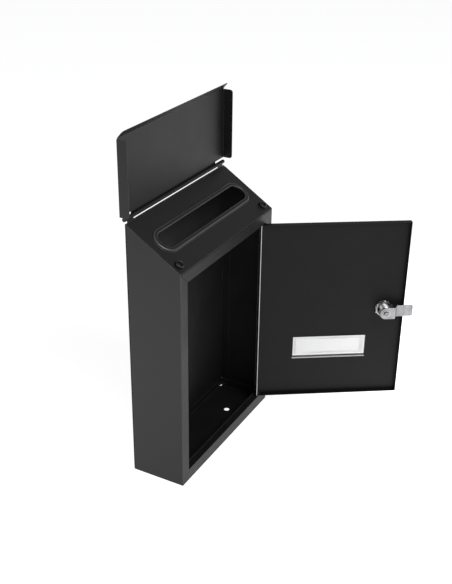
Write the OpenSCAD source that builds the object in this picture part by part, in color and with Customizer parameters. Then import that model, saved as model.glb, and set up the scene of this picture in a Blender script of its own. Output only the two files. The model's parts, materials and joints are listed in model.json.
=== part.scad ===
// Wall mounted parcel drop box in folded sheet steel: sloped top with a letter
// slot under a hinged lid, and a lockable front door that swings open.
// Axes: X to the right, +Y to the wall, +Z up. The origin is the centre of the
// base. The lid stands open and the door stands open at their stops.

/* [Body] */
// Width of the body
body_w = 250; // [200:5:320]
// Depth of the body, front to wall
body_d = 78; // [65:1:110]
// Height of the front
front_h = 316; // [240:2:400]
// Rise of the sloped top from the front to the back
top_rise = 50; // [36:1:70]
// Thickness of the sheet steel
sheet = 0.8; // [0.6:0.1:1.2]
// Open seam left between two welded panels
seam = 0.8; // [0.2:0.1:1]
// Depth of the folded tabs behind the seams
tab = 12; // [8:1:14]

/* [Front frame] */
// Width of the frame border around the door
frame_w = 16.5; // [15:0.5:22]
// Depth from the front to the door ledge
ledge_depth = 9; // [9:0.5:14]
// Width of the ledge that stands into the opening
ledge_w = 3; // [2:0.5:4]

/* [Letter slot] */
// Length of the slot
slot_l = 211; // [120:1:222]
// Width of the slot
slot_w = 25.4; // [12:0.2:30]
// Distance down the slope from the back edge to the middle of the slot
slot_s = 45.8; // [38:0.2:50]
// Width of the raised collar around the slot
collar_rim = 6.8; // [4:0.2:8]
// Height of the raised collar
collar_h = 2.2; // [1:0.1:3]

/* [Lid] */
// Width of the lid over its side flanges
lid_w = 260; // [210:5:330]
// Length of the lid from the hinge axis to the drip lip
lid_l = 104; // [90:1:130]
// Depth of the side flanges
lid_flange = 13.5; // [8:0.5:18]
// Length of the drip lip
lip_l = 11.3; // [6:0.1:16]
// Fold of the drip lip out of the plane of the lid
lip_angle = 41; // [20:1:60]
// Hinge axis behind the back face of the body
lid_axis_back = 1.1; // [0.9:0.1:2]
// Hinge axis above the back edge
lid_axis_up = 5.2; // [5:0.1:7]
// Length of each fixed knuckle
knuckle_l = 18; // [12:0.5:24]

/* [Door] */
// Gap between the door and the frame
door_gap = 1.0; // [0.8:0.1:1.5]
// Depth of the folded rim of the door
door_rim = 7.4; // [6:0.1:7.8]
// Swing of the door from closed to its stop
door_swing = 123.5; // [100:0.5:124]
// Hinge axis in from the hinge edge of the door
pin_in = 3.45; // [3.3:0.05:4]
// Hinge axis behind the inner face of the front sheet
pin_back = 1.4; // [1.35:0.05:1.6]

/* [Lock] */
// Distance from the hinge edge of the door to the lock
lock_u = 186; // [120:1:195]
// Height of the lock above the base
lock_z = 159.5; // [80:0.5:260]
// Diameter of the lock barrel
barrel_d = 18.4; // [16:0.1:22]
// Width across the flats of the barrel
barrel_flats = 16; // [14:0.1:20]
// Length of the barrel behind the outer face of the door
barrel_l = 17.4; // [16:0.1:24]
// Reach of the cam from the lock axis to its tip
cam_reach = 41.5; // [36:0.5:44]
// Width of the cam
cam_w = 18; // [14:0.5:20]
// Thickness of the cam
cam_t = 2; // [1.5:0.1:3]

/* [Name plate] */
// Length of the name plate holder
plate_l = 110; // [80:1:130]
// Height of the name plate holder
plate_h = 31; // [24:0.5:40]
// Height of the lower edge of the holder above the base
plate_z = 84; // [60:0.5:120]

/* [Wall fixing] */
// Distance between the upper wall holes
upper_pitch = 170; // [100:5:200]
// Height of the upper wall holes
upper_z = 330; // [220:2:340]
// Height of the lower wall hole
lower_z = 50; // [30:1:90]
// Diameter of the wall holes
wall_hole_d = 6; // [4:0.5:8]

/* [Hidden] */

eps = 0.01;
over = 1;
round_fn = 48;
fine_fn = 64;
small_fn = 32;
bend_r = 1.2;

half_w = body_w / 2;
front_y = -body_d / 2;
back_y = body_d / 2;
back_h = front_h + top_rise;
slope = atan2(top_rise, body_d);
slope_l = norm([body_d, top_rise]);
side_in = half_w - sheet;
panel_x = side_in - seam;
base_top = sheet + seam;
back_rise = 1.15;

// front frame
mitre_gap = 0.5;
mitre = frame_w + 2 * ledge_w;
mitre_in = mitre_gap / 2;
open_x = half_w - frame_w;
open_z0 = frame_w;
open_z1 = front_h - frame_w;
frame_top_z = front_h - sheet / cos(slope) - seam;

// drain hole and corner reliefs of the base
drain_d = 8;
drain_x = 65.5;
drain_y = -2.8;
relief_x = 5;
relief_y = 1.6;

// sloping side of the slot collar
collar_foot = 1.6;

// rubber bumpers
bumper_d = 12;
bumper_edge = 1;
bumper_side = 12.5;
bumper_front = 11.5;
bumper_x = half_w - bumper_side;
bumper_s = slope_l - bumper_front;
bumper_stem_d = 6;
bumper_drop = 1.75;
slope_tab = side_in - bumper_x - bumper_stem_d / 2 - over;

// lid and its hinge
hinge_r = 1.9;
run_clear = 0.05;
curl_in = hinge_r + run_clear;
curl_out = curl_in + sheet;
lid_y = back_y + lid_axis_back;
lid_z = back_h + lid_axis_up;
knuckle_side = 0.3;
knuckle_relief = 4.5;
knuckle_root = 2;
knuckle_x1 = half_w - knuckle_side;
knuckle_x0 = knuckle_x1 - knuckle_l;
knuckle_gap = 0.6;
lid_tab_x = knuckle_x0 - knuckle_gap;
lid_notch = 4.6;
lid_corner = 4;
lip_relief = 1.5;
pin_head_r = 2.4;
pin_head_l = 0.8;
lid_rest = lid_axis_up * cos(slope) - lid_axis_back * sin(slope) + curl_in;
bumper_h = lid_rest - bumper_drop;

// door and its pins
door_x = open_x - door_gap;
door_z0 = open_z0 + door_gap;
door_z1 = open_z1 - door_gap;
pivot_x = door_x - pin_in;
pivot_y = front_y + sheet + pin_back;
door_pin_r = 1.0;
door_pin_reach = 3;
door_head_r = 1.3;

// lock, measured back from the outer face of the door
lock_x = door_x - lock_u;
head_d = 22;
head_t = 1.6;
plug_d = 12;
plug_clear = 0.05;
thread_clear = 0.15;
washer_d = 25;
washer_t = 0.9;
nut_af = 23.5;
nut_t = 4;
nut_turn = 25;
spacer_t = 0.7;
stack_gap = 0.1;
drive_w = 7;
drive_clear = 0.05;
cam_y = barrel_l + spacer_t + 2 * stack_gap;
pad_clear = 0.6;
pad_y = ledge_depth + sheet + pad_clear;
cam_knee = 12;
cam_heel = 5.5;
cam_corner = 3;
screw_r = 2.45;
screw_hole_r = 2.5;
cam_washer_d = 12;
cam_washer_t = 0.8;
screw_head_d = 9;
screw_head_t = 2.2;
screw_l = 9;
screw_taper = 2;
cross_l = 5;
cross_w = 1.1;
key_w = 2;
key_h = 7.4;
key_l = 14;
wafer_count = 4;
wafer_t = 0.8;
wafer_w = 6;
wafer_h = 9.6;
wafer_pitch = 2.8;
wafer_first = 2.2;
wafer_clear = 0.1;

// name plate, measured back from the outer face of the door
window_l = 90;
window_h = 16;
lens_border = 5;
lens_t = 1.5;
lens_raise = 0.2;
card_t = 0.4;
card_side = 2;
card_clear = 0.25;
holder_t = 1.2;
holder_rim = 1.6;
holder_lip = 5;
lens_clear = 0.2;
window_z = plate_z + plate_h / 2;

// colours
paint = [0.17, 0.17, 0.18];
rubber = [0.05, 0.05, 0.05];
steel = [0.78, 0.79, 0.8];
zinc = [0.86, 0.86, 0.87];
brass = [0.8, 0.66, 0.32];
clear_plastic = [0.85, 0.9, 0.92];
card = [0.96, 0.96, 0.95];

// ---------- helpers ----------

// side outline of the body, drawn in Y and Z, moved in by a margin
module side_outline(margin, bottom) {
    drop = margin / cos(slope);
    rise = tan(slope);
    polygon([
        [front_y + margin, bottom],
        [back_y - margin, bottom],
        [back_y - margin, back_h - margin * rise - drop],
        [front_y + margin, front_h + margin * rise - drop]
    ]);
}

// extrudes a Y-Z outline from x0 over a length in X
module along_x(x0, length) {
    translate([x0, 0, 0]) rotate([90, 0, 90]) linear_extrude(length) children();
}

// places its children on the slope: X across, Y up the slope, Z out of it,
// with the origin at a distance down the slope from the back edge
module on_slope(s) {
    translate([0, back_y, back_h]) rotate([slope, 0, 0]) translate([0, -s, 0]) children();
}

// flat shape with two round ends, along X
module stadium(length, width) {
    straight = length - width;
    translate([-straight / 2, -width / 2]) square([straight, width]);
    for (side = [-1, 1])
        translate([side * straight / 2, 0]) circle(d = width, $fn = fine_fn);
}

// rectangle from a corner with round corners of one radius
module round_rect(x0, y0, w, h, r) {
    translate([x0 + r, y0]) square([w - 2 * r, h]);
    translate([x0, y0 + r]) square([w, h - 2 * r]);
    for (x = [x0 + r, x0 + w - r], y = [y0 + r, y0 + h - r])
        translate([x, y]) circle(r, $fn = round_fn);
}

// ---------- fixed case ----------

module back_panel() {
    color(paint) difference() {
        union() {
            translate([-half_w, back_y - sheet, base_top])
                cube([body_w, sheet, back_h - base_top]);
            translate([knuckle_relief - knuckle_x1, back_y - sheet, back_h - knuckle_root])
                cube([2 * (knuckle_x1 - knuckle_relief), sheet, back_rise + knuckle_root]);
            for (side = [-1, 1]) {
                back_tab(side);
                knuckle(side);
            }
        }
        for (side = [-1, 1]) wall_hole(side * upper_pitch / 2, upper_z);
        wall_hole(0, lower_z);
        translate([0, lid_y, lid_z]) rotate([0, 90, 0])
            cylinder(r = curl_in, h = body_w + 2 * over, center = true, $fn = round_fn);
    }
}

// folded tab that backs the seam to a side panel
module back_tab(side) {
    x0 = side > 0 ? side_in - sheet : -side_in;
    translate([x0, back_y - sheet - tab, tab + 2 * sheet])
        cube([sheet, tab + eps, back_h - 3 * tab]);
}

// fixed knuckle: the sheet rises from the back panel and rolls backwards
module knuckle(side) {
    x0 = side > 0 ? knuckle_x0 : -knuckle_x1;
    root_x = side > 0 ? knuckle_x0 : knuckle_relief - knuckle_x1;
    translate([root_x, back_y - sheet, back_h - knuckle_root])
        cube([knuckle_l - knuckle_relief, sheet, lid_axis_up + knuckle_root]);
    translate([x0, lid_y, lid_z]) rotate([0, 90, 0])
        cylinder(r = curl_out, h = knuckle_l, $fn = round_fn);
}

module wall_hole(x, z) {
    translate([x, back_y + over, z]) rotate([90, 0, 0])
        cylinder(d = wall_hole_d, h = sheet + 2 * over, $fn = small_fn);
}

// side plate with its folded front tab and the sloped tab under the top panel
module side_panel(side) {
    plate_x = side > 0 ? side_in : -half_w;
    tab_x = side > 0 ? side_in - tab : -side_in;
    slope_tab_x = side > 0 ? side_in - slope_tab : -side_in;
    color(paint) intersection() {
        along_x(-half_w, body_w) difference() {
            side_outline(0, base_top);
            translate([back_y - sheet - seam, 0]) square([body_d, back_h]);
        }
        union() {
            along_x(plate_x, sheet) side_outline(0, base_top);
            along_x(tab_x, tab)
                translate([front_y + sheet, base_top + tab]) square([sheet, front_h - 2 * tab]);
            along_x(slope_tab_x, slope_tab) difference() {
                side_outline(sheet, back_h / 2);
                side_outline(2 * sheet, 0);
                translate([front_y, 0]) square([3 * sheet, back_h]);
                translate([back_y - sheet - tab, 0]) square([tab * 2, back_h]);
            }
        }
    }
}

module left_side() { side_panel(-1); }

module right_side() { side_panel(1); }

// sloped top with the letter slot in a raised collar
module top_panel() {
    color(paint) difference() {
        union() {
            along_x(-panel_x, 2 * panel_x) difference() {
                side_outline(0, back_h / 2);
                side_outline(sheet, 0);
                translate([back_y - sheet, 0]) square([sheet * 2, back_h + over]);
                translate([front_y - over, 0]) square([body_d, frame_top_z + seam]);
            }
            along_x(-(open_x - tab), 2 * (open_x - tab)) top_tabs();
            on_slope(slot_s) collar();
        }
        on_slope(slot_s) translate([0, 0, -2 * tab])
            linear_extrude(4 * tab) stadium(slot_l, slot_w);
        for (side = [-1, 1])
            on_slope(bumper_s) translate([side * bumper_x, 0, -tab])
                cylinder(d = bumper_stem_d, h = 2 * tab, $fn = round_fn);
    }
}

// tabs folded down from the top panel against the frame and the back panel
module top_tabs() {
    difference() {
        side_outline(0, back_h / 2);
        side_outline(2 * sheet, 0);
        translate([front_y - over, 0]) square([sheet + over, back_h]);
        translate([back_y - sheet, 0]) square([sheet + over, back_h + over]);
        translate([front_y, 0]) square([body_d / 2, front_h - tab]);
        translate([0, 0]) square([body_d, back_h - tab - sheet]);
    }
}

// raised collar with sloping sides
module collar() {
    outer_l = slot_l + 2 * collar_rim - 2 * collar_foot;
    outer_w = slot_w + 2 * collar_rim - 2 * collar_foot;
    translate([0, 0, -eps]) linear_extrude(collar_h + eps) stadium(outer_l, outer_w);
    for (side = [-1, 1])
        translate([side * (outer_l - outer_w) / 2, 0, -eps])
            cylinder(d1 = outer_w + 2 * collar_foot, d2 = outer_w, h = collar_h + eps, $fn = fine_fn);
    for (side = [-1, 1])
        translate([-(outer_l - outer_w) / 2, 0, 0]) rotate([90, 0, 90])
            linear_extrude(outer_l - outer_w)
                polygon([[side * outer_w / 2, -eps],
                    [side * (outer_w / 2 + collar_foot), -eps],
                    [side * outer_w / 2, collar_h]]);
}

// base tray with upturned tabs, a drain hole and corner reliefs
module bottom_panel() {
    color(paint) difference() {
        union() {
            translate([-half_w, front_y, 0]) cube([body_w, body_d, sheet]);
            for (x = [-side_in, side_in - sheet])
                translate([x, front_y + 3 * sheet, sheet - eps])
                    cube([sheet, body_d - 4 * sheet, tab]);
            translate([-side_in + tab, back_y - 2 * sheet, sheet - eps])
                cube([2 * (side_in - tab), sheet, tab]);
            translate([-open_x, front_y + sheet, sheet - eps])
                cube([2 * open_x, sheet, tab - eps]);
        }
        translate([drain_x, drain_y, -over])
            cylinder(d = drain_d, h = sheet + 2 * over, $fn = round_fn);
        for (side = [-1, 1])
            translate([side * (side_in - sheet - relief_x / 2), back_y - sheet - relief_y / 2, 0])
                cube([relief_x, relief_y, 4 * sheet], center = true);
    }
}

// ---------- front frame ----------

// whole frame: face, return and ledge
module frame_ring() {
    difference() {
        union() {
            translate([-panel_x, front_y, base_top])
                cube([2 * panel_x, sheet, frame_top_z - base_top]);
            translate([-open_x - sheet, front_y, open_z0 - sheet])
                cube([2 * (open_x + sheet), ledge_depth + sheet, open_z1 - open_z0 + 2 * sheet]);
        }
        translate([-open_x, front_y - over, open_z0])
            cube([2 * open_x, ledge_depth + over, open_z1 - open_z0]);
        translate([-open_x + ledge_w, front_y - over, open_z0 + ledge_w])
            cube([2 * (open_x - ledge_w), 2 * body_d, open_z1 - open_z0 - 2 * ledge_w]);
        for (z = [door_z0, door_z1])
            translate([pivot_x, pivot_y, z])
                cylinder(r = door_pin_r + run_clear, h = 4 * door_gap + 2 * sheet,
                    center = true, $fn = small_fn);
    }
}

// one mitred quarter of the frame, named by the side it is on
module frame_part(points) {
    color(paint) intersection() {
        frame_ring();
        translate([0, back_y, 0]) rotate([90, 0, 0]) linear_extrude(body_d) polygon(points);
    }
}

// outline of the part on the left or right
module frame_stile(side) {
    outer = side * half_w;
    inner = side * (half_w - mitre);
    frame_part([[outer, mitre_in], [inner, mitre + mitre_in],
        [inner, front_h - mitre - mitre_in], [outer, front_h - mitre_in]]);
}

// outline of the part at the top or bottom, by its outer and inner height
module frame_rail(outer, inner) {
    frame_part([[-half_w + mitre_in, outer], [-half_w + mitre + mitre_in, inner],
        [half_w - mitre - mitre_in, inner], [half_w - mitre_in, outer]]);
}

module frame_left() { frame_stile(-1); }

module frame_right() { frame_stile(1); }

module frame_top() { frame_rail(front_h, front_h - mitre); }

module frame_bottom() { frame_rail(0, mitre); }

// ---------- trim and pins of the case ----------

// domed rubber bumper with a stem through the top panel
module bumper(side) {
    flat = bumper_d / 2 - bumper_edge;
    color(rubber) on_slope(bumper_s) translate([side * bumper_x, 0, 0])
        rotate_extrude($fn = round_fn) union() {
            translate([0, eps]) square([bumper_d / 2, bumper_h - bumper_edge - eps]);
            translate([0, eps]) square([flat, bumper_h - eps]);
            translate([flat, bumper_h - bumper_edge]) circle(bumper_edge, $fn = small_fn);
            translate([0, -2 * sheet]) square([bumper_stem_d / 2 - run_clear, 2 * sheet + over]);
            translate([0, -3 * sheet]) square([bumper_stem_d / 2 + over / 2, 2 * sheet - eps]);
        }
}

module bumper_left() { bumper(-1); }

module bumper_right() { bumper(1); }

// rod through all the knuckles, headed at both ends
module lid_hinge_pin() {
    color(paint) translate([0, lid_y, lid_z]) rotate([0, 90, 0]) {
        cylinder(r = hinge_r, h = 2 * knuckle_x1 + 2 * run_clear, center = true, $fn = round_fn);
        for (side = [-1, 1])
            translate([0, 0, side * (knuckle_x1 + run_clear + pin_head_l / 2)])
                cylinder(r = pin_head_r, h = pin_head_l, center = true, $fn = round_fn);
    }
}

// short pin riveted in the frame that the door turns on
module door_pin(dir) {
    face = dir > 0 ? open_z1 : open_z0;
    color(steel) translate([pivot_x, pivot_y, face]) {
        translate([0, 0, dir > 0 ? -door_pin_reach : -sheet - over / 2])
            cylinder(r = door_pin_r, h = door_pin_reach + sheet + over / 2, $fn = small_fn);
        translate([0, 0, dir > 0 ? sheet + run_clear : -sheet - over - run_clear])
            cylinder(r = door_head_r, h = over, $fn = small_fn);
    }
}

module door_pin_top() { door_pin(1); }

module door_pin_bottom() { door_pin(-1); }

// ---------- lid ----------

// lid drawn standing open: its inner face looks to the front
module lid() {
    half = lid_w / 2;
    color(paint) translate([0, lid_y, lid_z]) {
        difference() {
            translate([-half, curl_in, lid_notch]) cube([lid_w, sheet, lid_l - lid_notch]);
            for (side = [-1, 1])
                translate([side * half, curl_in, lid_l - lip_relief / 2])
                    cube([2 * lip_relief, 4 * sheet, 2 * lip_relief], center = true);
        }
        translate([-lid_tab_x, curl_in, 0]) cube([2 * lid_tab_x, sheet, lid_notch + eps]);
        rotate([90, 0, 90]) translate([0, 0, -lid_tab_x])
            linear_extrude(2 * lid_tab_x) difference() {
                circle(curl_out, $fn = round_fn);
                circle(curl_in, $fn = round_fn);
                translate([-curl_in / 4, 0]) square([2 * curl_out, 2 * curl_out]);
            }
        for (side = [-1, 1]) lid_side(side, half);
        lid_lip(half - lip_relief - sheet / 2);
    }
}

// side flange with round free corners
module lid_side(side, half) {
    length = lid_l - lid_notch - lip_relief;
    x0 = side > 0 ? half - sheet : -half;
    translate([x0, 0, lid_notch]) rotate([90, 0, 90]) linear_extrude(sheet) difference() {
        round_rect(curl_in - lid_flange, 0, lid_flange + sheet, length, lid_corner);
        translate([curl_in + sheet, -over]) square([lid_flange, length + 2 * over]);
    }
    translate([x0, curl_in - lid_corner, lid_notch]) cube([sheet, lid_corner + sheet, length]);
}

// drip lip along the free edge, folded towards the front
module lid_lip(half) {
    translate([0, curl_in + sheet, lid_l]) rotate([lip_angle, 0, 0])
        translate([0, 0, -sheet]) rotate([90, 0, 0]) linear_extrude(sheet) difference() {
            round_rect(-half, -lip_l, 2 * half, 2 * lip_l + sheet, lid_corner);
            translate([-half - over, -lip_l - over]) square([2 * (half + over), lip_l + over]);
        }
}

// ---------- door ----------

// turns its children, drawn closed, to the open rest position
module door_open() {
    translate([pivot_x, pivot_y, 0]) rotate([0, 0, door_swing])
        translate([-pivot_x, -pivot_y, 0]) children();
}

// plan section of the door: outer face at the front with round bends
module door_plan(inset, r) {
    half = door_x - inset;
    y0 = front_y + inset;
    depth = door_rim - inset;
    for (side = [-1, 1]) translate([side * (half - r), y0 + r]) circle(r, $fn = round_fn);
    translate([-half + r, y0]) square([2 * (half - r), depth]);
    translate([-half, y0 + r]) square([2 * half, depth - r]);
}

module door_panel() {
    height = door_z1 - door_z0;
    color(paint) door_open() difference() {
        translate([0, 0, door_z0]) linear_extrude(height) door_plan(0, bend_r);
        translate([0, 0, door_z0 + sheet]) linear_extrude(height - 2 * sheet)
            union() {
                door_plan(sheet, bend_r - sheet);
                translate([-door_x + sheet, front_y + door_rim - over])
                    square([2 * (door_x - sheet), 2 * over]);
            }
        translate([-window_l / 2, front_y - over, window_z - window_h / 2])
            cube([window_l, sheet + 2 * over, window_h]);
        at_lock() translate([0, 0, -over]) linear_extrude(sheet + 2 * over) intersection() {
            circle(d = barrel_d + 2 * thread_clear, $fn = round_fn);
            square([barrel_flats + 2 * thread_clear, 2 * barrel_d], center = true);
        }
        translate([pivot_x, pivot_y, door_z0 - over])
            cylinder(r = door_pin_r + run_clear, h = height + 2 * over, $fn = small_fn);
    }
}

// ---------- name plate ----------

// block behind the window, by its own depth range
module plate_block(l, h, y0, t) {
    translate([-l / 2, front_y + y0, window_z - h / 2]) cube([l, t, h]);
}

// clear lens that stands in the window and is flanged behind the door skin
module name_lens() {
    color(clear_plastic) door_open() union() {
        plate_block(window_l - 2 * lens_clear, window_h - 2 * lens_clear, lens_raise, sheet);
        plate_block(window_l + 2 * lens_border, window_h + 2 * lens_border, sheet, lens_t - sheet);
    }
}

module name_card() {
    color(card) door_open()
        plate_block(plate_l - 2 * (card_side + card_clear), plate_h - 2 * (card_side + card_clear),
            lens_t, card_t);
}

// clear holder that covers the card, with a lip under it
module name_holder() {
    depth = lens_t + card_t - sheet;
    back = lens_t + card_t;
    color(clear_plastic) door_open() union() {
        difference() {
            plate_block(plate_l, plate_h, sheet, depth + holder_t);
            plate_block(plate_l - 2 * card_side, plate_h - 2 * card_side, 0, back);
            plate_block(plate_l - 2 * holder_rim, plate_h - 2 * holder_rim,
                back + holder_t / 2, holder_t);
        }
        translate([-plate_l / 2, front_y + sheet, plate_z - holder_lip])
            cube([plate_l, sheet, holder_lip + eps]);
        translate([-plate_l / 2, front_y + sheet, plate_z - holder_lip])
            cube([plate_l, 3 * sheet, sheet]);
    }
}

// ---------- lock ----------

// places its children on the lock axis: Z back into the box, X to the right
module at_lock() {
    translate([lock_x, front_y, lock_z]) rotate([-90, 0, 0]) children();
}

module lock_housing() {
    bore = plug_d + 2 * plug_clear;
    color(zinc) door_open() at_lock() difference() {
        union() {
            translate([0, 0, -head_t]) cylinder(d = head_d, h = head_t, $fn = fine_fn);
            translate([0, 0, -eps]) linear_extrude(barrel_l + eps) intersection() {
                circle(d = barrel_d, $fn = fine_fn);
                square([barrel_flats, 2 * barrel_d], center = true);
            }
        }
        translate([0, 0, -head_t - over])
            cylinder(d = bore, h = barrel_l + head_t + 2 * over, $fn = fine_fn);
    }
}

module lock_washer() {
    color(steel) door_open() at_lock() translate([0, 0, sheet]) difference() {
        cylinder(d = washer_d, h = washer_t, $fn = fine_fn);
        translate([0, 0, -over])
            cylinder(d = barrel_d + 2 * thread_clear, h = washer_t + 2 * over, $fn = fine_fn);
    }
}

module lock_nut() {
    color(zinc) door_open() at_lock() translate([0, 0, sheet + washer_t]) difference() {
        rotate([0, 0, nut_turn]) cylinder(d = nut_af / cos(30), h = nut_t, $fn = 6);
        translate([0, 0, -over])
            cylinder(d = barrel_d + 2 * thread_clear, h = nut_t + 2 * over, $fn = fine_fn);
    }
}

// thin ring between the barrel and the cam
module lock_spacer() {
    color(steel) door_open() at_lock() translate([0, 0, barrel_l + stack_gap]) difference() {
        cylinder(d = barrel_flats, h = spacer_t, $fn = fine_fn);
        translate([0, 0, -over])
            cylinder(d = drive_w / cos(45) + 4 * drive_clear, h = spacer_t + 2 * over,
                $fn = fine_fn);
    }
}

// turning plug with keyway, wafer slots and a square drive
module lock_plug() {
    color(zinc) door_open() at_lock() difference() {
        union() {
            translate([0, 0, -head_t]) cylinder(d = plug_d, h = barrel_l + head_t, $fn = fine_fn);
            translate([-drive_w / 2, -drive_w / 2, barrel_l - eps])
                cube([drive_w, drive_w, cam_y + cam_t - stack_gap - barrel_l]);
        }
        translate([-key_w / 2, -key_h / 2, -head_t - over]) cube([key_w, key_h, key_l + over]);
        for (i = [0 : wafer_count - 1])
            translate([0, 0, wafer_first + i * wafer_pitch])
                cube([wafer_w + 2 * wafer_clear, 2 * plug_d, wafer_t + 2 * wafer_clear],
                    center = true);
        translate([0, 0, cam_y + cam_t - screw_l])
            cylinder(r = screw_hole_r, h = 2 * screw_l, $fn = small_fn);
    }
}

// wafers held in the slots of the plug, windowed for the key
module lock_wafers() {
    color(brass) door_open() at_lock()
        for (i = [0 : wafer_count - 1])
            translate([0, 0, wafer_first + i * wafer_pitch]) difference() {
                cube([wafer_w, wafer_h, wafer_t], center = true);
                cube([key_w + 4 * wafer_clear, key_h, 2 * wafer_t], center = true);
            }
}

// cam plate folded towards the door, pointing past its free edge
module lock_cam() {
    near = pad_y;
    far = cam_y;
    socket = drive_w + 2 * drive_clear;
    color(zinc) door_open() at_lock() difference() {
        intersection() {
            translate([0, cam_w / 2, 0]) rotate([90, 0, 0]) linear_extrude(cam_w) polygon([
                [cam_w, far], [cam_w, far + cam_t],
                [-cam_knee - cam_t / 2, far + cam_t],
                [-cam_knee - cam_heel, near + cam_t],
                [-cam_reach, near + cam_t], [-cam_reach, near],
                [-cam_knee - cam_heel + cam_t / 2, near],
                [-cam_knee + cam_t / 2, far]]);
            linear_extrude(far + 2 * cam_t) union() {
                round_rect(-cam_reach, -cam_w / 2, cam_reach, cam_w, cam_corner);
                translate([-cam_knee, -cam_w / 2]) square([cam_knee, cam_w]);
                circle(d = cam_w, $fn = fine_fn);
            }
        }
        translate([0, 0, far + cam_t / 2])
            cube([socket, socket, 2 * cam_t], center = true);
    }
}

module cam_washer() {
    color(steel) door_open() at_lock() translate([0, 0, cam_y + cam_t]) difference() {
        cylinder(d = cam_washer_d, h = cam_washer_t, $fn = round_fn);
        translate([0, 0, -over])
            cylinder(r = screw_hole_r + run_clear, h = cam_washer_t + 2 * over, $fn = small_fn);
    }
}

// pan head screw with a cross recess
module cam_screw() {
    head_z = cam_y + cam_t + cam_washer_t;
    color(zinc) door_open() at_lock() difference() {
        union() {
            translate([0, 0, head_z])
                cylinder(d1 = screw_head_d, d2 = screw_head_d - screw_taper,
                    h = screw_head_t, $fn = round_fn);
            translate([0, 0, head_z + eps - screw_l + over])
                cylinder(r = screw_r, h = screw_l - over, $fn = small_fn);
        }
        for (turn = [0, 90])
            translate([0, 0, head_z + screw_head_t]) rotate([0, 0, turn])
                cube([cross_l, cross_w, screw_head_t], center = true);
    }
}

back_panel();
left_side();
right_side();
top_panel();
bottom_panel();
frame_left();
frame_right();
frame_top();
frame_bottom();
bumper_left();
bumper_right();
lid_hinge_pin();
door_pin_top();
door_pin_bottom();
lid();
door_panel();
name_lens();
name_card();
name_holder();
lock_housing();
lock_washer();
lock_nut();
lock_spacer();
lock_plug();
lock_wafers();
lock_cam();
cam_washer();
cam_screw();
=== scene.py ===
"""Looks of the parcel drop box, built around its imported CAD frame.

Lengths are in metres, in the frame's axes: X to the right, Y to the wall, Z up.
"""

import json
import math

import bmesh
import bpy
from mathutils import Matrix, Vector


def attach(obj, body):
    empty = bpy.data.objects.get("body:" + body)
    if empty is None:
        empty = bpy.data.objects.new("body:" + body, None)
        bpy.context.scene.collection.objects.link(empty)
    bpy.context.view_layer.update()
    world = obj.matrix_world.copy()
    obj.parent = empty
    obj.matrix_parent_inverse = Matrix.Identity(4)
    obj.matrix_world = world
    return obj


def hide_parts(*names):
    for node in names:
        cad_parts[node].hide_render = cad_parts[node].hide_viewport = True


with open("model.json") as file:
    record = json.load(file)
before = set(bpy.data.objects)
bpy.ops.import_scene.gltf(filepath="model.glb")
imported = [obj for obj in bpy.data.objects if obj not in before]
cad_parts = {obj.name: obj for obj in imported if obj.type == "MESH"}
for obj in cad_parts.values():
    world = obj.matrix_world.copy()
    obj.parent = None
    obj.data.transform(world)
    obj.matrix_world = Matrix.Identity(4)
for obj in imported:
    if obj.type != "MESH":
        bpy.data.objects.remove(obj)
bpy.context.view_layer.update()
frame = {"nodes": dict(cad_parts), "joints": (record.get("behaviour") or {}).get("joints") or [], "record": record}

MM = 0.001
TAU = 2 * math.pi

# edge rounding, in millimetres; COLLAR_FROM is the height where the collar's soft edges start
SHEET_EDGE = 0.24
TURNED_EDGE = 0.12
CLEAR_EDGE = 0.15
CAM_EDGE = 0.4
COLLAR_FROM = 1.6
COLLAR_EDGE = 1.1
COLLAR_SEGMENTS = 4
SHARPER_THAN = 28

# width of the painted highlight on the door's hinge-side edge, bright metal on an edge that is black paint, in
# millimetres
HIGHLIGHT_STRIP_WIDTH = 1.1

# bumper outline as (millimetres in from the rim, share of the height)
BUMPER_PROFILE = (
    (0.1, 0), (0, 0.1), (0, 0.5), (0.15, 0.72), (0.5, 0.9), (1.0, 0.985), (1.5, 1), (2.0, 0.97),
    (2.45, 0.87), (2.75, 0.7), (2.95, 0.45), (3.3, 0.32), (5.0, 0.36), (5.95, 0.37),
)
BUMPER_POINTS = 64

# cam lock, in millimetres
HEAD_BORE = 12.1
HEAD_DEPTH = 1.6
HEAD_ROUND = 0.8
BARREL_R = 9.2
BARREL_FLAT = 8.0
BARREL_POINTS = 96
THREAD_PITCH = 1.25
THREAD_DEPTH = 0.7
THREAD_END = 0.4
THREAD_STEPS = 6
NUT_POINTS = 144
NUT_BORE_GAP = 0.1
NUT_MOUTH = 0.7
WASHER_BORE_GAP = 0.12
WASHER_TEETH = 20
TOOTH_DEPTH = 1.3
TOOTH_SHARE = 0.68

# name plate, in millimetres; CARD_PAST is left, right, below and above the CAD card
CARD_PAST = (1.5, 1.5, 2.9, 1.9)
CARD_EDGE = 0.12
WINDOW_IN = (7, 2.6)
WINDOW_DEPTH = 0.3
LIP_HEIGHT = 1.1
LIP_DEPTH = 2.4
LIP_EDGE = 0.25


# ---------- camera, floor and light ----------

CAMERA_PLACE = Vector((-1.0084, -0.5749, 0.8186))
CAMERA_LOOK = Vector((0.7858, 0.4213, -0.4528)).normalized()
CAMERA_ROLL = math.radians(0.71)
CAMERA_LENS = 58.92
SENSOR_WIDTH = 36

# floor: side and level in metres, then pools of its own light as (centre, radius, strength)
FLOOR_SIDE = 14
FLOOR_LEVEL = -0.0002
FLOOR_POOLS = (((0, 0), 40, 0.8), ((-0.55, 0.25), 0.7, 0.68), ((0.45, -0.3), 0.55, 1.2))
FLOOR_GREY = (0.45, 0.45, 0.45, 1)

WORLD_COLOUR = (0.97, 0.98, 1.0, 1)
WORLD_STRENGTH = 0.37

# lights as (name, place, target, side, watts)
LIGHTS = (
    ("key", (-0.6, -1.6, 2.0), (0, 0, 0.15), 1.2, 26),
    ("fill", (-1.8, 0.6, 1.2), (0, 0, 0.2), 1.2, 8),
)


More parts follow.
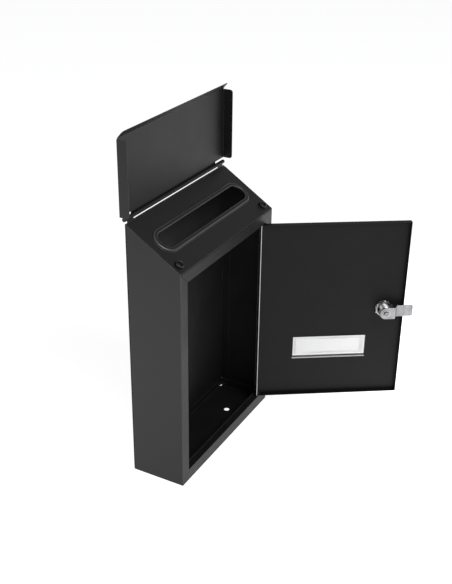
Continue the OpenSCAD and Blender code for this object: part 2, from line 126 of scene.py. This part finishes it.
def make_camera():
    """Camera at the fitted place, with its small roll."""
    right = CAMERA_LOOK.cross(Vector((0, 0, 1))).normalized()
    up = right.cross(CAMERA_LOOK)
    turned = right * math.cos(CAMERA_ROLL) + up * math.sin(CAMERA_ROLL)
    up = turned.cross(CAMERA_LOOK)
    data = bpy.data.cameras.new("camera")
    data.lens = CAMERA_LENS
    data.sensor_width = SENSOR_WIDTH
    data.clip_start = 0.01
    camera = bpy.data.objects.new("camera", data)
    axes = Matrix((turned, up, -CAMERA_LOOK)).transposed().to_4x4()
    camera.matrix_world = Matrix.Translation(CAMERA_PLACE) @ axes
    bpy.context.scene.collection.objects.link(camera)
    bpy.context.scene.camera = camera


def area_light(name, place, target, size, power):
    """A square soft box that looks at a point."""
    data = bpy.data.lights.new(name, "AREA")
    data.shape = "SQUARE"
    data.size = size
    data.energy = power
    light = bpy.data.objects.new(name, data)
    direction = Vector(target) - Vector(place)
    turn = direction.to_track_quat("-Z", "Y").to_matrix().to_4x4()
    light.matrix_world = Matrix.Translation(Vector(place)) @ turn
    bpy.context.scene.collection.objects.link(light)


def make_studio():
    """Plain view transform, even sky, lit floor and two soft boxes."""
    scene = bpy.context.scene
    scene.view_settings.view_transform = "Standard"
    scene.view_settings.look = "None"
    world = bpy.data.worlds.new("studio")
    world.use_nodes = True
    background = world.node_tree.nodes["Background"]
    background.inputs["Color"].default_value = WORLD_COLOUR
    background.inputs["Strength"].default_value = WORLD_STRENGTH
    scene.world = world

    bpy.ops.mesh.primitive_plane_add(size=FLOOR_SIDE, location=(0, 0, FLOOR_LEVEL))
    floor = bpy.context.object
    floor.name = "floor"
    floor.data.materials.append(floor_material())
    for name, place, target, side, watts in LIGHTS:
        area_light(name, place, target, side, watts)


# ---------- materials ----------

def new_material(name):
    material = bpy.data.materials.new(name)
    material.use_nodes = True
    return material, material.node_tree, material.node_tree.nodes["Principled BSDF"]


def add_node(tree, kind, **inputs):
    node = tree.nodes.new(kind)
    for key, value in inputs.items():
        node.inputs[key.replace("_", " ")].default_value = value
    return node


def noise(tree, scale, detail=2.0, stretch=(1, 1, 1)):
    """Noise in the row frame; scale is in cells per metre."""
    place = tree.nodes.new("ShaderNodeTexCoord")
    mapping = tree.nodes.new("ShaderNodeMapping")
    mapping.inputs["Scale"].default_value = stretch
    texture = add_node(tree, "ShaderNodeTexNoise", Scale=scale, Detail=detail)
    tree.links.new(place.outputs["Object"], mapping.inputs["Vector"])
    tree.links.new(mapping.outputs["Vector"], texture.inputs["Vector"])
    return texture.outputs["Fac"]


def spread(tree, value, low, high):
    """Maps a noise value's middle range to low and high."""
    node = tree.nodes.new("ShaderNodeMapRange")
    for key, number in zip(("From Min", "From Max", "To Min", "To Max"), (0.3, 0.7, low, high)):
        node.inputs[key].default_value = number
    tree.links.new(value, node.inputs["Value"])
    return node.outputs["Result"]


def mix_colours(tree, value, first, second):
    node = tree.nodes.new("ShaderNodeMix")
    node.data_type = "RGBA"
    node.inputs["A"].default_value = (*first, 1)
    node.inputs["B"].default_value = (*second, 1)
    tree.links.new(value, node.inputs["Factor"])
    return node.outputs["Result"]


def mottled(tree, shader, value, dark, light):
    """Base colour that wanders between two colours with a noise value."""
    colour = mix_colours(tree, spread(tree, value, 0, 1), dark, light)
    tree.links.new(colour, shader.inputs["Base Color"])


def bump(tree, shader, heights):
    """Chains bumps of (height value, strength, distance in metres) into the normal."""
    normal = None
    for value, strength, distance in heights:
        node = add_node(tree, "ShaderNodeBump", Strength=strength, Distance=distance)
        tree.links.new(value, node.inputs["Height"])
        if normal is not None:
            tree.links.new(normal, node.inputs["Normal"])
        normal = node.outputs["Normal"]
    tree.links.new(normal, shader.inputs["Normal"])


def powder_coat(name, dark, light, rough_low, rough_high, specular):
    """Satin black powder coat: fine orange peel over a slightly mottled film."""
    material, tree, shader = new_material(name)
    mottle = noise(tree, 28, 4)
    peel = noise(tree, 900, 2)
    grain = noise(tree, 3600, 1)
    mottled(tree, shader, mottle, dark, light)
    tree.links.new(spread(tree, mottle, rough_low, rough_high), shader.inputs["Roughness"])
    shader.inputs["Specular IOR Level"].default_value = specular
    bump(tree, shader, [(peel, 0.12, 0.00012), (grain, 0.10, 0.00003)])
    return material


def rubber():
    """Glossy black rubber."""
    material, tree, shader = new_material("rubber")
    cloud = noise(tree, 160, 3)
    mottled(tree, shader, cloud, (0.004, 0.004, 0.004), (0.008, 0.008, 0.008))
    tree.links.new(spread(tree, cloud, 0.16, 0.26), shader.inputs["Roughness"])
    bump(tree, shader, [(noise(tree, 1800, 1), 0.05, 0.00004)])
    return material


def metal(name, dark, light, rough_low, rough_high, stretch, grain):
    """Plated or plain metal with fine drawn lines along one axis."""
    material, tree, shader = new_material(name)
    shader.inputs["Metallic"].default_value = 1
    cloud = noise(tree, 120, 3)
    lines = noise(tree, grain, 2, stretch)
    mottled(tree, shader, cloud, dark, light)
    tree.links.new(spread(tree, lines, rough_low, rough_high), shader.inputs["Roughness"])
    bump(tree, shader, [(lines, 0.12, 0.00003), (cloud, 0.08, 0.0002)])
    return material


def clear_plastic():
    """Thin clear plastic, mostly see-through."""
    material, tree, shader = new_material("clear_plastic")
    shader.inputs["Alpha"].default_value = 0.06
    cloud = noise(tree, 60, 2)
    mottled(tree, shader, cloud, (0.96, 0.98, 0.98), (1, 1, 1))
    tree.links.new(spread(tree, cloud, 0.03, 0.07), shader.inputs["Roughness"])
    return material


def lit_lip_plastic():
    """Painted highlight: light grey matte plastic that stands in for the lit edge of the clear holder."""
    material, tree, shader = new_material("plastic_edge_highlight")
    cloud = noise(tree, 300, 2)
    mottled(tree, shader, cloud, (0.6, 0.61, 0.61), (0.75, 0.76, 0.76))
    shader.inputs["Roughness"].default_value = 0.3
    return material


def paper():
    """White card with short fibres."""
    material, tree, shader = new_material("card")
    fibres = noise(tree, 700, 4, (1, 1, 3))
    mottled(tree, shader, fibres, (0.86, 0.86, 0.855), (0.9, 0.9, 0.895))
    shader.inputs["Roughness"].default_value = 0.8
    bump(tree, shader, [(fibres, 0.2, 0.00004)])
    return material


def pool(tree, centre, radius, strength):
    """A round soft pool of light on the floor, brightest at its centre."""
    place = tree.nodes.new("ShaderNodeTexCoord")
    offset = tree.nodes.new("ShaderNodeVectorMath")
    offset.operation = "DISTANCE"
    offset.inputs[1].default_value = (*centre, 0)
    tree.links.new(place.outputs["Object"], offset.inputs[0])
    fade = tree.nodes.new("ShaderNodeMapRange")
    fade.interpolation_type = "SMOOTHERSTEP"
    for key, number in zip(("From Min", "From Max", "To Min", "To Max"), (0, radius, strength, 0)):
        fade.inputs[key].default_value = number
    tree.links.new(offset.outputs["Value"], fade.inputs["Value"])
    return fade.outputs["Result"]


def floor_material():
    """Pale matte floor, lit like a light table so that it stays even."""
    material, tree, shader = new_material("floor")
    shader.inputs["Base Color"].default_value = FLOOR_GREY
    shader.inputs["Roughness"].default_value = 0.9
    shader.inputs["Specular IOR Level"].default_value = 0
    shader.inputs["Emission Color"].default_value = (1, 1, 1, 1)
    total = None
    for centre, radius, strength in FLOOR_POOLS:
        value = pool(tree, centre, radius, strength)
        if total is not None:
            added = tree.nodes.new("ShaderNodeMath")
            tree.links.new(total, added.inputs[0])
            tree.links.new(value, added.inputs[1])
            value = added.outputs["Value"]
        total = value
    tree.links.new(total, shader.inputs["Emission Strength"])
    return material


PAINT = powder_coat(
    "powder_coat", (0.0085, 0.0085, 0.0088), (0.0115, 0.0115, 0.0118), 0.40, 0.47, 0.3
)
# painted shade: a darker, less glossy copy of the same powder coat, so that the door's inside reads darker than
# the body
PAINT_DOOR_SHADE = powder_coat(
    "powder_coat_door_shade", (0.0065, 0.0065, 0.0068), (0.009, 0.009, 0.0093), 0.42, 0.5, 0.18
)
# painted highlight: a lighter, glossier copy of the powder coat on the rounded edges, for the thin bright lines
# that light draws along them
PAINT_EDGE_HIGHLIGHT = powder_coat(
    "powder_coat_edge_highlight", (0.03, 0.03, 0.03), (0.05, 0.05, 0.05), 0.30, 0.42, 1.0
)
# painted highlight: bright metal that stands in for the light caught by the door's black painted hinge-side edge
HIGHLIGHT_METAL = metal(
    "painted_highlight_strip", (0.55, 0.55, 0.55), (0.7, 0.7, 0.7), 0.3, 0.45, (1, 1, 1), 900
)
# painted highlight for the lip of the name holder
LIP_HIGHLIGHT = lit_lip_plastic()
RUBBER = rubber()
ZINC = metal("zinc_plate", (0.3, 0.3, 0.31), (0.45, 0.45, 0.46), 0.2, 0.36, (1, 1, 6), 500)
STEEL = metal("plain_steel", (0.42, 0.42, 0.43), (0.56, 0.56, 0.57), 0.25, 0.42, (1, 6, 1), 600)
BRASS = metal("brass", (0.62, 0.43, 0.16), (0.74, 0.54, 0.24), 0.2, 0.35, (1, 1, 1), 600)
CLEAR = clear_plastic()
PAPER = paper()
FINISHES = {
    "black_paint": PAINT, "black_rubber": RUBBER, "zinc": ZINC, "steel": STEEL,
    "brass": BRASS, "clear_plastic": CLEAR, "white_card": PAPER,
}
SLOT_OF = {part["node"]: part["material_slot"] for part in frame["record"]["subparts"]}
BODY_OF = {
    node: body for body, nodes in frame["record"]["behaviour"]["bodies"].items() for node in nodes
}


# ---------- pieces from CAD nodes ----------

def add_piece(name, mesh, node, finish=None, extra=()):
    """Puts a finished mesh on its node's body in place of the node."""
    piece = bpy.data.objects.new(name, mesh)
    bpy.context.scene.collection.objects.link(piece)
    for material in (finish or FINISHES[SLOT_OF[node]], *extra):
        mesh.materials.append(material)
    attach(piece, BODY_OF[node])
    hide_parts(node)
    return piece


def even_normals(piece):
    """Keeps flat faces flat beside small round edges."""
    for polygon in piece.data.polygons:
        polygon.use_smooth = True
    modifier = piece.modifiers.new("normals", "WEIGHTED_NORMAL")
    modifier.keep_sharp = True
    bpy.context.view_layer.objects.active = piece
    bpy.ops.object.modifier_apply(modifier=modifier.name)


def bevel_edges(work, edges, width, segments):
    """Rounds some edges and marks the new faces with the second material."""
    made = bmesh.ops.bevel(work, geom=edges, offset=width * MM, segments=segments, profile=0.5,
                           affect="EDGES", clamp_overlap=True)
    for face in made["faces"]:
        face.material_index = 1


def sharp_edges(work, sharper_than):
    """Edges between two faces that meet at more than an angle in degrees."""
    limit = math.radians(sharper_than)
    return [e for e in work.edges if len(e.link_faces) == 2 and e.calc_face_angle(0) > limit]


def rounded_copy(node, width, segments=2, sharper_than=SHARPER_THAN, wide=None, highlight_strip=None, finish=None):
    """A copy of a CAD node with its real edge rounding, for folded or machined parts.

    wide is (test of an edge's middle, width) for edges with a larger radius.
    highlight_strip is (point, direction, test of a face) for a painted highlight past a plane: bright metal on
    faces of a black painted edge.
    """
    mesh = frame["nodes"][node].data.copy()
    mesh.name = node + "_mesh"
    mesh.materials.clear()
    work = bmesh.new()
    work.from_mesh(mesh)
    for face in work.faces:
        face.material_index = 0
    bmesh.ops.remove_doubles(work, verts=work.verts, dist=1e-6)
    bmesh.ops.dissolve_limit(work, angle_limit=math.radians(1), verts=work.verts, edges=work.edges)
    if wide:
        test, wide_width = wide
        chosen = [
            e for e in sharp_edges(work, sharper_than) if test((e.verts[0].co + e.verts[1].co) / 2)
        ]
        bevel_edges(work, chosen, wide_width, COLLAR_SEGMENTS)
        work.normal_update()
    bevel_edges(work, sharp_edges(work, sharper_than), width, segments)
    work.normal_update()
    if highlight_strip:
        point, direction, in_highlight_strip = highlight_strip
        geometry = work.faces[:] + work.edges[:] + work.verts[:]
        bmesh.ops.bisect_plane(work, geom=geometry, plane_co=point, plane_no=direction)
        work.normal_update()
        for face in work.faces:
            if in_highlight_strip(face):
                face.material_index = 2
    work.to_mesh(mesh)
    work.free()
    finish = finish or FINISHES[SLOT_OF[node]]
    # painted sheets take the lighter copy of the powder coat on their rounded edges, a painted highlight; other
    # finishes keep their own
    edge = {PAINT: PAINT_EDGE_HIGHLIGHT, PAINT_DOOR_SHADE: PAINT_EDGE_HIGHLIGHT}.get(finish, finish)
    piece = add_piece(node + "_finish", mesh, node, finish, (edge, HIGHLIGHT_METAL))
    even_normals(piece)
    return piece


def joint_named(name):
    return next(joint for joint in frame["joints"] if joint["name"] == name)


class Place:
    """A local frame: right, up and out axes from an origin, in millimetres."""

    def __init__(self, origin, right, up, out):
        self.origin = Vector(origin)
        self.axes = (Vector(right), Vector(up), Vector(out))

    def point(self, x, y, z):
        right, up, out = self.axes
        return self.origin + (right * x + up * y + out * z) * MM

    def local(self, point):
        offset = (point - self.origin) / MM
        return Vector([offset.dot(axis) for axis in self.axes])

    def span(self, node):
        """Lowest and highest local corner of a CAD node, in millimetres."""
        points = [self.local(v.co) for v in frame["nodes"][node].data.vertices]
        low = Vector([min(p[i] for p in points) for i in range(3)])
        high = Vector([max(p[i] for p in points) for i in range(3)])
        return low, high


def rings_mesh(name, place, rings, closed_tube=False, capped=True):
    """Skins rings of local points; a closed tube joins its last ring to its first."""
    mesh = bpy.data.meshes.new(name)
    work = bmesh.new()
    rows = [[work.verts.new(place.point(*point)) for point in ring] for ring in rings]
    pairs = list(zip(rows, rows[1:]))
    if closed_tube:
        pairs.append((rows[-1], rows[0]))
    for low, high in pairs:
        count = len(low)
        for i in range(count):
            j = (i + 1) % count
            work.faces.new((low[i], low[j], high[j], high[i]))
    if capped and not closed_tube:
        work.faces.new(rows[0][::-1])
        work.faces.new(rows[-1])
    bmesh.ops.recalc_face_normals(work, faces=work.faces)
    work.to_mesh(mesh)
    work.free()
    return mesh


def smooth_by_angle(piece, degrees):
    bpy.context.view_layer.objects.active = piece
    for other in bpy.context.selected_objects:
        other.select_set(False)
    piece.select_set(True)
    bpy.ops.object.shade_smooth_by_angle(angle=math.radians(degrees))
    piece.select_set(False)


def ring(radius, z, count, turn=0.0):
    """A ring of local points; radius is a number or a function of the angle."""
    points = []
    for i in range(count):
        angle = TAU * i / count + turn
        r = radius(angle) if callable(radius) else radius
        points.append((r * math.cos(angle), r * math.sin(angle), z))
    return points


# ---------- top panel and bumpers ----------

def slope_place():
    """Local frame of the sloped top: X across, Y up the slope, Z out of it."""
    faces = frame["nodes"]["top_panel"].data.polygons
    face = max((p for p in faces if p.normal.z > 0.5), key=lambda p: p.area)
    out = face.normal.normalized()
    right = Vector((1, 0, 0))
    return Place(face.center, right, out.cross(right), out)


def top_piece(place):
    """Top panel with the pressed collar's large soft edges."""
    def on_collar(middle):
        return place.local(middle).z > COLLAR_FROM
    rounded_copy("top_panel", SHEET_EDGE, wide=(on_collar, COLLAR_EDGE))


def bumper_piece(node, place):
    """Glossy rubber ring with a sunk middle."""
    low, high = place.span(node)
    radius = (high.x - low.x) / 2
    centre = (low + high) / 2
    here = Place(place.point(centre.x, centre.y, 0), *place.axes)
    rings = [
        ring(radius - narrower, high.z * share, BUMPER_POINTS)
        for narrower, share in BUMPER_PROFILE
    ]
    piece = add_piece(node + "_ring", rings_mesh(node + "_ring", here, rings), node)
    smooth_by_angle(piece, 50)


# ---------- lock ----------

def lock_place():
    """Local frame of the lock: X towards the door's free edge, Y up, Z into the case."""
    joint = joint_named("lock_turn")
    out = Vector(joint["axis"]).normalized()
    up = Vector((0, 0, 1))
    return Place(joint["pos_m"], up.cross(out), up, out)


def flatted(radius, flat):
    """Radius of a round bar with two flats across X."""
    return lambda angle: min(radius, flat / max(abs(math.cos(angle)), 1e-6))


def thread_radius(radius, flat, z, pitch, depth):
    """Radius of a flatted thread at one height, as a function of the angle."""
    def at(angle):
        wave = 0.5 - 0.5 * math.cos(TAU * (z / pitch) - angle)
        return flatted(radius - depth * wave ** 1.5, flat)(angle)
    return at


def barrel_piece(place):
    """Lock housing: round head, then a threaded barrel with two flats."""
    low, high = place.span("lock_housing")
    count = BARREL_POINTS
    head_r = (high.y - low.y) / 2
    bore_r = HEAD_BORE / 2
    front = low.z
    seat = front + HEAD_DEPTH
    rings = [
        ring(bore_r, high.z, count),
        ring(bore_r, front + 0.3, count),
        ring(bore_r + 0.3, front, count),
        ring(head_r - HEAD_ROUND, front, count),
        ring(head_r - 0.25, front + 0.25, count),
        ring(head_r, front + HEAD_ROUND, count),
        ring(head_r, seat, count),
        ring(flatted(BARREL_R - THREAD_DEPTH, BARREL_FLAT), seat, count),
    ]
    threaded = high.z - seat - 2 * THREAD_END
    steps = int(threaded / (THREAD_PITCH / THREAD_STEPS))
    for k in range(steps + 1):
        z = seat + THREAD_END + k * threaded / steps
        thread = thread_radius(BARREL_R, BARREL_FLAT, z, THREAD_PITCH, THREAD_DEPTH)
        rings.append(ring(thread, z, count))
    rings.append(ring(flatted(BARREL_R - 0.9, BARREL_FLAT - 0.3), high.z, count))
    mesh = rings_mesh("lock_barrel", place, rings, closed_tube=True)
    piece = add_piece("lock_barrel", mesh, "lock_housing", ZINC)
    smooth_by_angle(piece, 38)


def nut_piece(place):
    """Hexagon nut with chamfered corners and a chamfered mouth."""
    low, high = place.span("lock_nut")
    count = NUT_POINTS
    corners = max(
        (place.local(v.co).to_2d() for v in frame["nodes"]["lock_nut"].data.vertices),
        key=lambda p: p.length,
    )
    turn = math.atan2(corners.y, corners.x)
    across = corners.length * math.cos(math.pi / 6)

    def hexagon(angle, limit):
        part = (angle - turn) % (TAU / 6) - TAU / 12
        return min(across / math.cos(part), limit)

    corner_r = corners.length
    bore = BARREL_R + NUT_BORE_GAP
    rings = [
        ring(bore, low.z, count),
        ring(lambda a: hexagon(a, across), low.z, count),
        ring(lambda a: hexagon(a, corner_r), low.z + 0.7, count),
        ring(lambda a: hexagon(a, corner_r), high.z - 1.1, count),
        ring(lambda a: hexagon(a, across + 0.35), high.z - 0.25, count),
        ring(lambda a: hexagon(a, across - 0.35), high.z, count),
        ring(bore + NUT_MOUTH, high.z, count),
        ring(bore, high.z - NUT_MOUTH, count),
    ]
    mesh = rings_mesh("lock_hex_nut", place, rings, closed_tube=True)
    piece = add_piece("lock_hex_nut", mesh, "lock_nut", ZINC)
    smooth_by_angle(piece, 30)


def washer_piece(place):
    """Toothed washer: small straight teeth round its rim."""
    low, high = place.span("lock_washer")
    count = WASHER_TEETH * 8
    outer = (high.y - low.y) / 2
    bore = BARREL_R + WASHER_BORE_GAP

    def rim(angle):
        return outer - (TOOTH_DEPTH if (angle * WASHER_TEETH / TAU) % 1 > TOOTH_SHARE else 0)

    rings = [
        ring(bore, low.z, count),
        ring(lambda a: rim(a) - 0.15, low.z, count),
        ring(rim, low.z + 0.2, count),
        ring(rim, high.z - 0.2, count),
        ring(lambda a: rim(a) - 0.15, high.z, count),
        ring(bore, high.z, count),
    ]
    mesh = rings_mesh("lock_tooth_washer", place, rings, closed_tube=True)
    piece = add_piece("lock_tooth_washer", mesh, "lock_washer", STEEL)
    smooth_by_angle(piece, 30)


# ---------- name plate ----------

def panel_mesh(name, place, loops):
    """Skins capped rectangular loops, each (left, right, bottom, top, depth)."""
    rings = [
        [(left, bottom, z), (right, bottom, z), (right, top, z), (left, top, z)]
        for left, right, bottom, top, z in loops
    ]
    return rings_mesh(name, place, rings)


def inset(box, margin, z):
    left, right, bottom, top = box
    return (left + margin, right - margin, bottom + margin, top - margin, z)


def card_piece(place):
    """Card with a pressed panel that follows the window."""
    low, high = place.span("name_card")
    left, right, below, above = CARD_PAST
    box = (low.x - left, high.x + right, low.y - below, high.y + above)
    across, down = WINDOW_IN
    window = (low.x + across, high.x - across, low.y + down, high.y - down)
    loops = [
        inset(box, 0.1, low.z),
        inset(box, 0, low.z + 0.1),
        inset(box, 0, high.z - CARD_EDGE),
        inset(box, CARD_EDGE, high.z),
        inset(window, -0.35, high.z),
        inset(window, 0, high.z - WINDOW_DEPTH),
    ]
    piece = add_piece("name_insert", panel_mesh("name_insert", place, loops), "name_card", PAPER)
    even_normals(piece)


def holder_pieces(place):
    """Clear cover over the card, and the lip under it in light grey, a painted highlight of its lit edge."""
    low, high = place.span("name_holder")
    rounded_copy("name_holder", CLEAR_EDGE)
    box = (low.x, high.x, low.y, low.y + LIP_HEIGHT)
    deep = low.z + LIP_DEPTH
    loops = [inset(box, 0, low.z), inset(box, 0, deep - LIP_EDGE), inset(box, LIP_EDGE, deep)]
    lip = add_piece("name_lip", panel_mesh("name_lip", place, loops), "name_holder", LIP_HIGHLIGHT)
    even_normals(lip)


def door_piece(place):
    """Door with a painted highlight: bright metal on its hinge-side edge, which is black paint."""
    low, high = place.span("door_panel")

    # faces of the hinge-side edge that get the painted highlight
    def painted_highlight_strip(face):
        centre = place.local(face.calc_center_median())
        facing = face.normal.dot(place.axes[2])
        return facing > 0.3 and centre.x < low.x + HIGHLIGHT_STRIP_WIDTH and centre.z > high.z - HIGHLIGHT_STRIP_WIDTH

    fold = place.point(low.x + HIGHLIGHT_STRIP_WIDTH, 0, 0)
    # the door takes the darker copy of the powder coat, a painted shade
    rounded_copy("door_panel", SHEET_EDGE, highlight_strip=(fold, place.axes[0], painted_highlight_strip), finish=PAINT_DOOR_SHADE)


# ---------- the object ----------

top_place = slope_place()
door_place = lock_place()
for sheet_node in ("back_panel", "left_side", "right_side", "bottom_panel",
                   "frame_left", "frame_right", "frame_top", "frame_bottom", "lid"):
    rounded_copy(sheet_node, SHEET_EDGE)
top_piece(top_place)
door_piece(door_place)
for bumper_node in ("bumper_left", "bumper_right"):
    bumper_piece(bumper_node, top_place)
for turned_node in ("lid_hinge_pin", "door_pin_top", "door_pin_bottom", "lock_plug",
                    "lock_spacer", "cam_washer", "cam_screw", "lock_wafers"):
    rounded_copy(turned_node, TURNED_EDGE)
rounded_copy("lock_cam", CAM_EDGE, 3)
barrel_piece(door_place)
nut_piece(door_place)
washer_piece(door_place)
rounded_copy("name_lens", CLEAR_EDGE)
card_piece(door_place)
holder_pieces(door_place)

make_studio()
make_camera()
